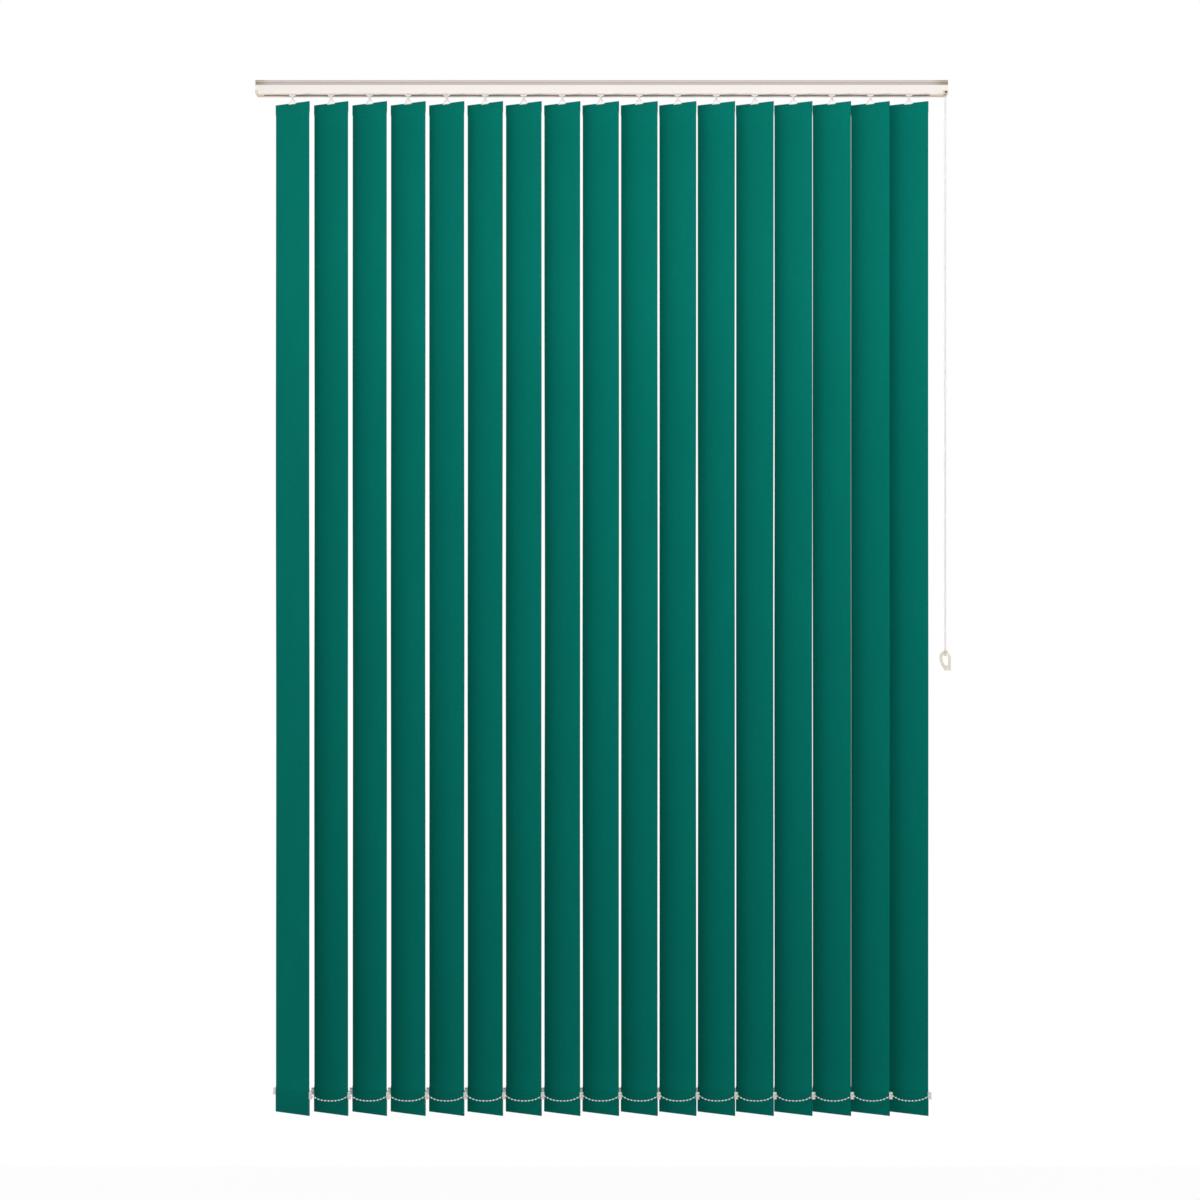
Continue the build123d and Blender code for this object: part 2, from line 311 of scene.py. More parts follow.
@dataclass(frozen=True)
class WovenCloth:
    """Plain-woven, stiffened vane cloth with welded pocket seams, painted shade between the yarns
    and on the bottom pocket, and a painted highlight along the seams.
    """

    colour: Colour
    yarn: float
    seams: tuple[float, float]
    seam_width: float = 1.8 * MM
    seam_dash: float = 2.4 * MM
    dash_level: float = -0.35
    warp_slubs: float = 45.0
    weft_slubs: float = 9.0
    clouds: Point = (22.0, 22.0, 7.0)
    slub_shares: Point = (0.5, 0.3, 0.2)
    tones: tuple[float, float] = (0.93, 1.09)
    # Painted shade between the yarns
    gap_level: float = 0.7
    gap_shade_share: float = 0.30
    gap_shade_tone: float = 0.55
    # Painted shade on the bottom pocket, and a painted highlight along the seams
    pocket_shade_tone: float = 0.9
    seam_highlight_tone: float = 1.3
    line_share: float = 0.6
    rough: float = 0.9
    rough_drop: float = 0.08
    relief: float = 0.14 * MM
    relief_strength: float = 0.7
    relief_shares: Point = (0.55, 0.3, 0.9)
    gloss: float = 0.06

    def make(self) -> bpy.types.Material:
        """Make the material.

        Returns:
            Cloth with yarns, slubs and seam lines, with painted shade and a painted highlight.
        """
        recipe = Recipe("woven_cloth")
        cloth = recipe.node("ShaderNodeUVMap", {"uv_map": VaneSheet.map_name}, {}, "UV")
        across, along = recipe.part(cloth, "X"), recipe.part(cloth, "Y")
        count = 1.0 / self.yarn
        warp = abs((across * (math.pi * count)).sine())
        weft = abs((along * (math.pi * count)).sine())
        lifted = recipe.node("ShaderNodeTexChecker", {}, {"Vector": cloth, "Scale": count}, "Fac")
        height = lifted * warp + (1.0 - lifted) * weft
        warp_share, weft_share, cloud_share = self.slub_shares
        slub = recipe.grain(cloth, (self.warp_slubs, count / 2, 1.0)) * warp_share
        slub = slub + recipe.grain(cloth, (count / 2, self.weft_slubs, 1.0)) * weft_share
        slub = slub + recipe.grain(recipe.place(), self.clouds) * cloud_share
        tint = recipe.tone(slub)
        dark, light = self.tones
        colour = recipe.mix(tint, shade(self.colour, dark), shade(self.colour, light))
        # Painted shade between the yarns
        yarn_gap_shade = recipe.ramp(height, 0.0, self.gap_level, self.gap_shade_share, 0.0)
        level = recipe.part(recipe.place(), "Z")
        half = self.seam_width / 2
        lines = [recipe.fall(abs(level - z), half / 2, half) for z in self.seams]
        dashes = (across * (2 * math.pi / self.seam_dash)).sine().over(self.dash_level)
        seam = lines[0].at_least(lines[1]) * dashes
        # Painted shade on the bottom pocket below its seam, and a painted highlight along both
        # seams
        pocket_shade = recipe.fall(level, self.seams[1] - half, self.seams[1])
        colour = recipe.mix(pocket_shade * self.line_share, colour, shade(self.colour, self.pocket_shade_tone))
        colour = recipe.mix(seam * self.line_share, colour, shade(self.colour, self.seam_highlight_tone))
        recipe.feed("Base Color", recipe.mix(yarn_gap_shade, colour, shade(self.colour, self.gap_shade_tone)))
        recipe.feed("Roughness", self.rough - tint * self.rough_drop)
        yarn_share, slub_share, seam_share = self.relief_shares
        relief = height * yarn_share + slub * slub_share - seam * seam_share
        recipe.emboss(relief, self.relief, self.relief_strength)
        recipe.set(Specular_IOR_Level=self.gloss)
        return recipe.material


@dataclass(frozen=True)
class Mark:
    """Painted shade of one colour on a share of a finish."""

    colour: Colour

    def share(self, recipe: Recipe) -> Wire:
        """Where the mark lies, from 0 to 1."""
        raise NotImplementedError

    def hue(self, recipe: Recipe) -> "Colour | Wire":
        """Colour of the mark, which is the same all over unless a kind of mark says otherwise."""
        return self.colour

    def tint(self, recipe: Recipe, paint: Wire) -> Wire:
        """Lay the mark over the paint.

        Args:
            recipe: Material to add to.
            paint: Colour of the piece without the painted shade.

        Returns:
            Colour with the mark.
        """
        return recipe.mix(self.share(recipe), paint, self.hue(recipe))


@dataclass(frozen=True)
class Recess(Mark):
    """Painted shade in the grip groove under the rail's lips and on their faces, deeper by its
    ends.
    """

    end_colour: Colour
    top: float = 4 * MM
    foot: float = 10 * MM
    soft_edge: float = 0.4 * MM
    lip_share: float = 0.7
    lip_half: float = 20.5 * MM
    edge: float = 1.8 * MM
    end_start: float = 680 * MM
    end_full: float = 714 * MM

    def share(self, recipe: Recipe) -> Wire:
        """The groove, and the lips' outer faces.

        Args:
            recipe: Material to add to.

        Returns:
            The share from 0 to 1.
        """
        place = recipe.place()
        level = recipe.part(place, "Z")
        above = recipe.rise(level, -self.foot - self.soft_edge, -self.foot)
        groove = recipe.fall(level, -self.top, -self.top + self.soft_edge)
        lip = recipe.ramp(level, -self.edge - self.soft_edge, -self.edge, self.lip_share, 1.0)
        out = abs(recipe.part(place, "Y"))
        side = recipe.rise(out, self.lip_half - 2 * self.soft_edge, self.lip_half - self.soft_edge)
        return above * groove.at_least(lip * side)

    def hue(self, recipe: Recipe) -> Wire:
        """Painted shade, darker towards both ends of the rail."""
        ends = recipe.rise(abs(recipe.part(recipe.place(), "X")), self.end_start, self.end_full)
        return recipe.mix(ends, self.colour, self.end_colour)


@dataclass(frozen=True)
class ChamberShade(Mark):
    """Painted shade in the chamber behind the window of the control end, on its walls and on the
    beads there.
    """

    low: Point = (709.5 * MM, -20.5 * MM, -26.8 * MM)
    high: Point = (719 * MM, 20.5 * MM, -11 * MM)
    soft_edge: float = 0.3 * MM

    def share(self, recipe: Recipe) -> Wire:
        """The space between two corners.

        Args:
            recipe: Material to add to.

        Returns:
            The share from 0 to 1.
        """
        place = recipe.place()
        inside = []
        for letter, low, high in zip("XYZ", self.low, self.high):
            along = recipe.part(place, letter)
            inside.append(recipe.rise(along, low, low + self.soft_edge))
            inside.append(recipe.fall(along, high - self.soft_edge, high))
        return math.prod(inside[1:], start=inside[0])


@dataclass(frozen=True)
class LowShade(Mark):
    """Painted shade on the low part of the end mouldings."""

    level: float = -19 * MM
    full_level: float = -24 * MM
    full_share: float = 0.8

    def share(self, recipe: Recipe) -> Wire:
        """The low part, stronger towards the foot."""
        level = recipe.part(recipe.place(), "Z")
        return recipe.ramp(level, self.full_level, self.level, self.full_share, 0.0)


@dataclass(frozen=True)
class Underside(Mark):
    """Painted shade on the channel and underside of the rail, from the front edge of its slot to
    its back wall.
    """

    level: float = -20 * MM
    front: float = -7 * MM
    back: float = 21.4 * MM
    soft_edge: float = 0.6 * MM

    def share(self, recipe: Recipe) -> Wire:
        """The low part behind the slot's front edge, apart from the outside of the back wall.

        Args:
            recipe: Material to add to.

        Returns:
            The share from 0 to 1.
        """
        place = recipe.place()
        depth = recipe.part(place, "Y")
        below = recipe.fall(recipe.part(place, "Z"), self.level - self.soft_edge, self.level)
        behind = recipe.rise(depth, self.front - self.soft_edge, self.front)
        inside = recipe.fall(depth, self.back - self.soft_edge, self.back)
        return below * behind * inside


@dataclass(frozen=True)
class Enamel:
    """Satin enamel on an extrusion, with die lines along X under the paint."""

    name: str
    colour: Colour
    marks: tuple[Mark, ...]
    peel: Point = (850.0, 850.0, 850.0)
    die_lines: Point = (1.5, 900.0, 900.0)
    clouds: Point = (6.0, 30.0, 30.0)
    main_share: float = 0.6
    line_share: float = 0.4
    tones: tuple[float, float] = (0.98, 1.015)
    rough: float = 0.34
    rough_rise: float = 0.1
    relief: float = 0.02 * MM
    relief_strength: float = 0.6

    def make(self) -> bpy.types.Material:
        """Make the material.

        Returns:
            Painted metal.
        """
        recipe = Recipe(self.name)
        place = recipe.place()
        peel = recipe.grain(place, self.peel, detail=1.0)
        lines = recipe.grain(place, self.die_lines, detail=3.0)
        cloud = recipe.grain(place, self.clouds)
        tone = recipe.tone(cloud * self.main_share + lines * self.line_share)
        dark, light = self.tones
        paint = recipe.mix(tone, shade(self.colour, dark), shade(self.colour, light))
        # Lay the painted shade of the marks over the paint
        for mark in self.marks:
            paint = mark.tint(recipe, paint)
        recipe.feed("Base Color", paint)
        recipe.feed("Roughness", self.rough + peel * self.rough_rise)
        relief = peel * self.main_share + lines * self.line_share
        recipe.emboss(relief, self.relief, self.relief_strength)
        recipe.set(Coat_Weight=0.15, Coat_Roughness=0.25)
        return recipe.material


@dataclass(frozen=True)
class Moulded:
    """Moulded plastic with an eroded skin and faint flow marks."""

    name: str
    colour: Colour
    rough: float
    skin: float = 0.02 * MM
    clear: float = 0.0
    marks: tuple[Mark, ...] = ()
    grains: Point = (1500.0, 1500.0, 1500.0)
    flow: Point = (70.0, 140.0, 45.0)
    tones: tuple[float, float] = (0.965, 1.02)
    rough_rise: float = 0.12
    relief_shares: tuple[float, float] = (0.8, 0.2)
    relief_strength: float = 0.5

    def make(self) -> bpy.types.Material:
        """Make the material.

        Returns:
            Plastic with a fine skin.
        """
        recipe = Recipe(self.name)
        place = recipe.place()
        fine = recipe.grain(place, self.grains)
        flow = recipe.grain(place, self.flow, detail=3.0)
        dark, light = self.tones
        paint = recipe.mix(recipe.tone(flow), shade(self.colour, dark), shade(self.colour, light))
        # Lay the painted shade of the marks over the paint
        for mark in self.marks:
            paint = mark.tint(recipe, paint)
        recipe.feed("Base Color", paint)
        recipe.feed("Roughness", self.rough + fine * self.rough_rise)
        fine_share, flow_share = self.relief_shares
        recipe.emboss(fine * fine_share + flow * flow_share, self.skin, self.relief_strength)
        recipe.set(IOR=1.49, Transmission_Weight=self.clear)
        return recipe.material


@dataclass(frozen=True)
class Drawn:
    """Drawn aluminium with streaks along X."""

    name: str
    colour: Colour
    streaks: Point = (3.0, 1600.0, 1600.0)
    low: float = 0.25
    high: float = 0.75
    dark_tone: float = 0.85
    rough: float = 0.24
    rough_rise: float = 0.22
    relief: float = 0.01 * MM
    relief_strength: float = 0.6

    def make(self) -> bpy.types.Material:
        """Make the material.

        Returns:
            Bare metal.
        """
        recipe = Recipe(self.name)
        streak = recipe.grain(recipe.place(), self.streaks, detail=4.0)
        tone = recipe.rise(streak, self.low, self.high)
        recipe.feed("Base Color", recipe.mix(tone, shade(self.colour, self.dark_tone), self.colour))
        recipe.feed("Roughness", self.rough + streak * self.rough_rise)
        recipe.emboss(streak, self.relief, self.relief_strength)
        recipe.set(Metallic=1.0)
        return recipe.material


class Bench:
    """Modelling by hand on one mesh at a time."""

    @staticmethod
    def clear() -> None:
        """Leave nothing selected."""
        bpy.ops.object.select_all(action="DESELECT")

    @staticmethod
    def take(piece: bpy.types.Object) -> None:
        """Select one piece alone."""
        Bench.clear()
        piece.select_set(True)
        bpy.context.view_layer.objects.active = piece

    @staticmethod
    def edit(piece: bpy.types.Object) -> None:
        """Open a piece in edit mode with all of it selected."""
        Bench.take(piece)
        bpy.ops.object.mode_set(mode="EDIT")
        bpy.ops.mesh.select_all(action="SELECT")

    @staticmethod
    def leave() -> None:
        """Close edit mode."""
        bpy.ops.object.mode_set(mode="OBJECT")

    @staticmethod
    def pick(piece: bpy.types.Object, mode: str, test: Callable[[Vector], bool]) -> None:
        """Select vertices or faces of the open piece by their place.

        Args:
            piece: Piece in edit mode.
            mode: VERT or FACE.
            test: Whether an element at a place is wanted.
        """
        bpy.ops.mesh.select_mode(type=mode)
        bpy.ops.mesh.select_all(action="DESELECT")
        shape = bmesh.from_edit_mesh(piece.data)
        for vertex in shape.verts if mode == "VERT" else ():
            vertex.select_set(test(vertex.co))
        for face in shape.faces if mode == "FACE" else ():
            face.select_set(test(face.calc_center_median()))
        shape.select_flush_mode()
        bmesh.update_edit_mesh(piece.data)

    @staticmethod
    def draw_out(step: Point) -> None:
        """Extrude what is selected by a step."""
        bpy.ops.mesh.extrude_region_move(TRANSFORM_OT_translate={"value": step})

    @staticmethod
    def apply(piece: bpy.types.Object, kind: str, **settings: object) -> None:
        """Add a modifier and apply it.

        Args:
            piece: Piece to finish.
            kind: Type of the modifier.
            settings: Its properties.
        """
        Bench.take(piece)
        modifier = piece.modifiers.new(kind.lower(), kind)
        for key, value in settings.items():
            setattr(modifier, key, value)
        bpy.ops.object.modifier_apply(modifier=modifier.name)

    @staticmethod
    def show(name: str, mesh: bpy.types.Mesh, material: bpy.types.Material) -> bpy.types.Object:
        """Put a finished mesh into the scene.

        Args:
            name: Name of the piece.
            mesh: Its mesh, in place in the frame.
            material: Its finish.

        Returns:
            The new piece.
        """
        mesh.materials.clear()
        mesh.materials.append(material)
        piece = bpy.data.objects.new(name, mesh)
        bpy.context.scene.collection.objects.link(piece)
        return piece

    @staticmethod
    def discard(piece: bpy.types.Object) -> None:
        """Remove a pattern piece that only its copies are needed of."""
        bpy.data.objects.remove(piece, do_unlink=True)


@dataclass
class VaneSheet:
    """Cloth vanes: a strip folded into a pocket at both ends, with a notch in the top fold."""

    row: Row
    finish: bpy.types.Material
    width: float = 89 * MM
    top: float = -44.2 * MM
    bottom: float = -2143.5 * MM
    cloth: float = 0.5 * MM
    top_pocket: float = 24 * MM
    bottom_pocket: float = 55 * MM
    taper: float = 5 * MM
    top_turn: float = 1.0 * MM
    bottom_turn: float = 1.2 * MM
    notch_half: float = 10 * MM
    notch_depth: float = 2.5 * MM
    flat_length: float = 2.1796
    rows: int = 44
    turn_steps: int = 6
    bow: float = 0.9 * MM
    twist: float = math.radians(1.1)
    bow_turn: float = 7.0
    straight_top: float = 50 * MM
    straight_foot: float = 80 * MM
    columns: tuple[float, ...] = (27 * MM, 38 * MM)
    seam_inset: float = 2.5 * MM
    smooth: float = math.radians(40)
    seed: int = 11
    map_name: ClassVar[str] = "cloth"

    def profile(self) -> list[tuple[float, float]]:
        """Line of the cloth in its own thickness and height, from one free end to the other.

        Returns:
            Places in Y and Z, in order along the strip.
        """
        top_seam, bottom_seam = self.top - self.top_pocket, self.bottom + self.bottom_pocket
        notch = self.top - self.notch_depth
        high = self.top - self.cloth / 2 - self.top_turn
        low = self.bottom + self.cloth / 2 + self.bottom_turn
        turns = [math.pi * k / self.turn_steps for k in range(self.turn_steps + 1)]
        line = [(self.cloth, top_seam), (self.top_turn, top_seam + self.taper)]
        line += [(self.top_turn, notch)]
        line += [(self.top_turn * math.cos(a), high + self.top_turn * math.sin(a)) for a in turns]
        line += [(-self.top_turn, notch), (-self.top_turn, top_seam + self.taper)]
        drop = bottom_seam - top_seam
        line += [(0.0, top_seam + drop * k / self.rows) for k in range(self.rows + 1)]
        line += [(-self.bottom_turn, bottom_seam - self.taper)]
        turn = self.bottom_turn
        line += [(-turn * math.cos(a), low - turn * math.sin(a)) for a in turns]
        line += [(self.bottom_turn, bottom_seam - self.taper), (self.cloth, bottom_seam)]
        return line

    def model(self) -> bpy.types.Object:
        """Model one straight vane at the origin.

        Returns:
            The pattern piece.
        """
        line = self.profile()
        Bench.clear()
        bpy.ops.mesh.primitive_plane_add(size=self.width)
        piece = bpy.context.object
        Bench.edit(piece)
        Bench.pick(piece, "VERT", lambda place: place.y < 0)
        bpy.ops.mesh.delete(type="VERT")
        bpy.ops.mesh.select_all(action="SELECT")
        y, z = line[0]
        bpy.ops.transform.translate(value=(0.0, y - self.width / 2, z))
        for next_y, next_z in line[1:]:
            Bench.draw_out((0.0, next_y - y, next_z - z))
            y, z = next_y, next_z
        cuts = (self.notch_half, *self.columns)
        for x in sorted([0.0, *cuts, *(-cut for cut in cuts)]):
            bpy.ops.mesh.select_all(action="SELECT")
            bpy.ops.mesh.bisect(plane_co=(x, 0.0, 0.0), plane_no=(1.0, 0.0, 0.0))
        floor = self.top - self.notch_depth
        Bench.pick(piece, "FACE",
                   lambda place: abs(place.x) < self.notch_half and place.z > floor)
        bpy.ops.mesh.delete(type="FACE")
        bpy.ops.mesh.select_all(action="SELECT")
        bpy.ops.mesh.normals_make_consistent(inside=False)
        Bench.leave()
        self.map_cloth(piece.data, line)
        Bench.apply(piece, "SOLIDIFY", thickness=self.cloth, offset=0.0)
        bpy.ops.object.shade_smooth_by_angle(angle=self.smooth)
        return piece

    def map_cloth(self, mesh: bpy.types.Mesh, line: list[tuple[float, float]]) -> None:
        """Lay the cloth's own map over the sheet, in metres across and along the strip.

        Args:
            mesh: Sheet without thickness.
            line: Line of the cloth.
        """
        while mesh.uv_layers:
            mesh.uv_layers.remove(mesh.uv_layers[0])
        layer = mesh.uv_layers.new(name=self.map_name)
        ends = np.array(line)
        runs = np.diff(ends, axis=0)
        lengths = np.linalg.norm(runs, axis=1)
        before = np.concatenate([[0.0], np.cumsum(lengths)])
        along = []
        for vertex in mesh.vertices:
            gap = np.array([vertex.co.y, vertex.co.z]) - ends[:-1]
            share = np.clip((gap * runs).sum(axis=1) / lengths ** 2, 0.0, 1.0)
            off = np.linalg.norm(gap - runs * share[:, None], axis=1)
            best = int(off.argmin())
            along.append(before[best] + share[best] * lengths[best])
        for loop in mesh.loops:
            x = mesh.vertices[loop.vertex_index].co.x
            layer.data[loop.index].uv = (x + self.width / 2, along[loop.vertex_index])

    def hang(self, pattern: bpy.types.Object, number: int,
             chance: random.Random) -> bpy.types.Object:
        """Hang a copy of the vane on its stem, a little bowed and twisted below its pocket.

        Args:
            pattern: Straight vane.
            number: Number of the vane.
            chance: Source of the small differences.

        Returns:
            The vane in place.
        """
        tag = self.row.tag(number)
        mesh = pattern.data.copy()
        flat = np.empty(3 * len(mesh.vertices))
        mesh.vertices.foreach_get("co", flat)
        x, y, z = flat.reshape(-1, 3).T
        start = self.top - self.straight_top
        share = np.clip((start - z) / (start - self.bottom - self.straight_foot), 0.0, 1.0)
        free = np.sin(math.pi * share) ** 2
        phase, turn = chance.uniform(0, 2 * math.pi), chance.uniform(-self.twist, self.twist)
        y = y + free * self.bow * np.sin(self.bow_turn * share + phase)
        angle = -self.row.tilt + free * turn
        flat = np.stack([self.row.x(number) + x * np.cos(angle) - y * np.sin(angle),
                         x * np.sin(angle) + y * np.cos(angle), z], axis=1)
        mesh.vertices.foreach_set("co", flat.ravel())
        mesh.update()
        piece = Bench.show(f"vane_sheet_{tag}", mesh, self.finish)
        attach(piece, f"vane_{tag}")
        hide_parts(f"vane_{tag}")
        return piece

    def build(self) -> None:
        """Model the vane once and hang a copy at every stem."""
        pattern = self.model()
        chance = random.Random(self.seed)
        for number in self.row.numbers():
            piece = self.hang(pattern, number, chance)
            LOG.info("%s: %d faces", piece.name, len(piece.data.polygons))
        Bench.discard(pattern)


@dataclass(frozen=True)
class Bead:
    """A bead with the short link to the next one, turned about +Z."""

    radius: float
    half_length: float
    link_radius: float
    pitch: float
    sides: int = 10
    rings: int = 6

    def stations(self) -> list[tuple[float, float]]:
        """Height and radius of each ring, from the bead's foot to the end of its link.

        Returns:
            The rings in order.
        """
        start = math.asin(self.link_radius / self.radius)
        angles = [start + (math.pi - 2 * start) * k / (self.rings - 1) for k in range(self.rings)]
        bead = [(-self.half_length * math.cos(a), self.radius * math.sin(a)) for a in angles]
        return bead + [(self.pitch - self.half_length * math.cos(start), self.link_radius)]

    def model(self) -> bpy.types.Object:
        """Draw the bead out ring by ring.

        Returns:
            The pattern piece at the origin.
        """
        rings = self.stations()
        z, radius = rings[0]
        Bench.clear()
        bpy.ops.mesh.primitive_circle_add(vertices=self.sides, radius=radius, fill_type="NGON",
                                          location=(0.0, 0.0, z))
        piece = bpy.context.object
        bpy.ops.object.transform_apply(location=True)
        Bench.edit(piece)
        for next_z, next_radius in rings[1:]:
            Bench.draw_out((0.0, 0.0, next_z - z))
            grow = next_radius / radius
            bpy.ops.transform.resize(value=(grow, grow, 1.0), center_override=(0.0, 0.0, next_z))
            z, radius = next_z, next_radius
        bpy.ops.mesh.select_all(action="SELECT")
        bpy.ops.mesh.normals_make_consistent(inside=False)
        Bench.leave()
        return piece


@dataclass
class BeadChain:
    """A chain of beads along one smooth line."""

    name: str
    body: str
    node: str
    finish: bpy.types.Material
    route: list[Point]
    bead: Bead
    beads: int
    exit: Point
    length: float
    lay: Lay
    order: int = 3
    resolution: int = 12

    def line(self) -> np.ndarray:
        """Read the chain's line from a smooth curve on the route's points.

        Returns:
            Places along the line, in order.
        """
        curve = bpy.data.curves.new(self.name + "_line", "CURVE")
        curve.dimensions = "3D"
        spline = curve.splines.new("NURBS")
        spline.points.add(len(self.route) - 1)
        for point, place in zip(spline.points, self.route):
            point.co = (*place, 1.0)
        spline.order_u = self.order
        spline.use_endpoint_u = True
        spline.resolution_u = self.resolution
        guide = bpy.data.objects.new(curve.name, curve)
        bpy.context.scene.collection.objects.link(guide)
        mesh = bpy.data.meshes.new_from_object(guide)
        places = np.array([vertex.co[:] for vertex in mesh.vertices])
        bpy.data.objects.remove(guide, do_unlink=True)
        bpy.data.meshes.remove(mesh)
        bpy.data.curves.remove(curve)
        steps = np.linalg.norm(np.diff(places, axis=0), axis=1)
        return places[np.concatenate([[True], steps > SMALLEST_STEP])]

    def string(self, line: np.ndarray) -> bpy.types.Mesh:
        """String copies of the bead along the line.

        Args:
            line: Places along the chain.

        Returns:
            One mesh with every bead and link.
        """
        pattern = self.bead.model()
        shape = np.array([vertex.co[:] for vertex in pattern.data.vertices])
        faces = [list(face.vertices) for face in pattern.data.polygons]
        Bench.discard(pattern)
        steps = np.linalg.norm(np.diff(line, axis=0), axis=1)
        run = np.concatenate([[0.0], np.cumsum(steps)])
        gap = run[-1] / self.beads
        spots = np.array([[np.interp((k + 0.5) * gap, run, line[:, axis]) for axis in range(3)]
                          for k in range(self.beads)])
        ahead = np.vstack([spots[1:], 2 * spots[-1] - spots[-2]]) - spots
        points, polygons = [], []
        for number, (spot, step) in enumerate(zip(spots, ahead)):
            turn = np.array(Vector(step).to_track_quat("Z", "Y").to_matrix())
            points.append(shape @ turn.T + spot)
            polygons += [[index + number * len(shape) for index in face] for face in faces]
        mesh = bpy.data.meshes.new(self.name)
        mesh.from_pydata(np.vstack(points).tolist(), [], polygons)
        mesh.polygons.foreach_set("use_smooth", [True] * len(mesh.polygons))
        return mesh

    def build(self, with_pieces: Iterable[bpy.types.Object] = ()) -> bpy.types.Object:
        """Make the chain and log its beads and length.

        Args:
            with_pieces: Pieces that hang on it; not used.

        Returns:
            The chain.
        """
        line = self.line()
        piece = Bench.show(self.name, self.string(line), self.finish)
        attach(piece, self.body)
        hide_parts(self.node)
        2 * self.bead.radius
        LOG.info("%s: %d beads on %.4f m", piece.name, self.beads,
                 float(np.linalg.norm(np.diff(line, axis=0), axis=1).sum()))
        return piece


@dataclass
class ControlChain:
    """The endless loop that turns the rod, from the sprocket round the clip's bar and back."""

    finish: bpy.types.Material
    x: float = 715.6 * MM
    bead_radius: float = 2.0 * MM
    link_radius: float = 0.5 * MM
    pitch: float = 4.65 * MM
    beads: int = 512
    length: float = 2.3806
    exit_side: tuple[float, float] = (-15.02 * MM, -28 * MM)
    side_mm: tuple[tuple[float, float], ...] = (
        (-7.5, -6.48), (-15.2, -6.48), (-15.02, -38.0), (-12.6, -1160.0), (-13.7, -1190.9),
        (-1.3, -1190.9), (-2.4, -1160.0), (0.02, -38.0), (0.2, -6.48), (-7.5, -6.48))

    def route(self) -> list[Point]:
        """Points of the loop, from the sprocket's crown down the front strand and up the back one.

        Returns:
            The points in order.
        """
        return [(self.x, y * MM, z * MM) for y, z in self.side_mm]

    def build(self, clip: bpy.types.Object) -> None:
        """String the loop, with the clip that hangs on it.

        Args:
            clip: The clip.
        """
        bead = Bead(self.bead_radius, self.bead_radius, self.link_radius, self.pitch)
        BeadChain("control_bead_chain", "headrail", "control_chain", self.finish, self.route(),
                  bead, self.beads, (self.x, *self.exit_side), self.length,
                  Lay.TAUT).build([clip])


@dataclass
class BottomChain:
    """Bead chain along one edge of the vanes, through the clip on each bottom weight."""

    row: Row
    edge: Edge
    finish: bpy.types.Material
    ear_reach: float = 48.9 * MM
    level: float = -2099.5 * MM
    sag: float = 12.0 * MM
    stand_out: float = 1.7 * MM
    bead_radius: float = 1.5 * MM
    bead_half_length: float = 1.9 * MM
    link_radius: float = 0.35 * MM
    low_shares: tuple[float, float] = (0.25, 0.75)
    beads_each: int = 12
    length: float = 1.3556
    stacked_share: float = 18 / 80

    def ear(self, number: int) -> Point:
        """Place of the chain in a vane's clip, far enough out to clear a closed vane.

        Args:
            number: Number of the vane.

        Returns:
            The place.
        """
        reach = self.edge.value * self.ear_reach
        x = self.row.x(number) + reach * math.cos(self.row.tilt)
        y = -reach * math.sin(self.row.tilt)
        return (x, y - self.edge.value * self.stand_out, self.level)

    def route(self) -> list[Point]:
        """Points of the chain: twice at every clip, and twice at the low part of every swag.

        Returns:
            The points in order.
        """
        points: list[Point] = []
        for number in self.row.numbers():
            x, y, z = self.ear(number)
            points += [(x, y, z), (x, y, z)]
            if number < self.row.count:
                low = z - self.sag
                points += [(x + share * self.row.pitch, y, low) for share in self.low_shares]
        return points

    def build(self) -> None:
        """String the chain."""
        side = "front" if self.edge is Edge.NEAR else "back"
        beads = (self.row.count - 1) * self.beads_each
        bead = Bead(self.bead_radius, self.bead_half_length, self.link_radius, self.length / beads)
        piece = BeadChain(f"bottom_beads_{side}", f"{side}_chain", f"bottom_chain_{side}",
                          self.finish, self.route(), bead, beads, self.ear(1), self.length,
                          Lay.HANGING).build()
        self.ear(self.row.count)
        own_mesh(piece)


@dataclass
class Moulding:
    """A moulded piece with softened edges, made from a copy of its solid."""

    node: str
    body: str
    slot: Slot
    finish: bpy.types.Material
    soften: float
    steps: int = 2
    sharp: float = math.radians(38)
    smooth: float = math.radians(48)

    def shape(self, piece: bpy.types.Object) -> None:
        """Shape the open piece further. A plain moulding needs nothing more."""

    def build(self) -> bpy.types.Object:
        """Merge, clean and round the copy.

        Returns:
            The piece that stands for the solid.
        """
        mesh = frame["nodes"][self.node].data.copy()
        piece = Bench.show(f"moulded_{self.node}", mesh, self.finish)
        Bench.edit(piece)
        bpy.ops.mesh.remove_doubles(threshold=WELD)
        self.shape(piece)
        Bench.leave()
        Bench.apply(piece, "BEVEL", width=self.soften, segments=self.steps, limit_method="ANGLE",
                    angle_limit=self.sharp)
        bpy.ops.object.shade_smooth_by_angle(angle=self.smooth)
        Bench.apply(piece, "WEIGHTED_NORMAL", keep_sharp=True)
        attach(piece, self.body)
        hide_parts(self.node)
        LOG.info("%s: %d faces", piece.name, len(piece.data.polygons))
        return piece


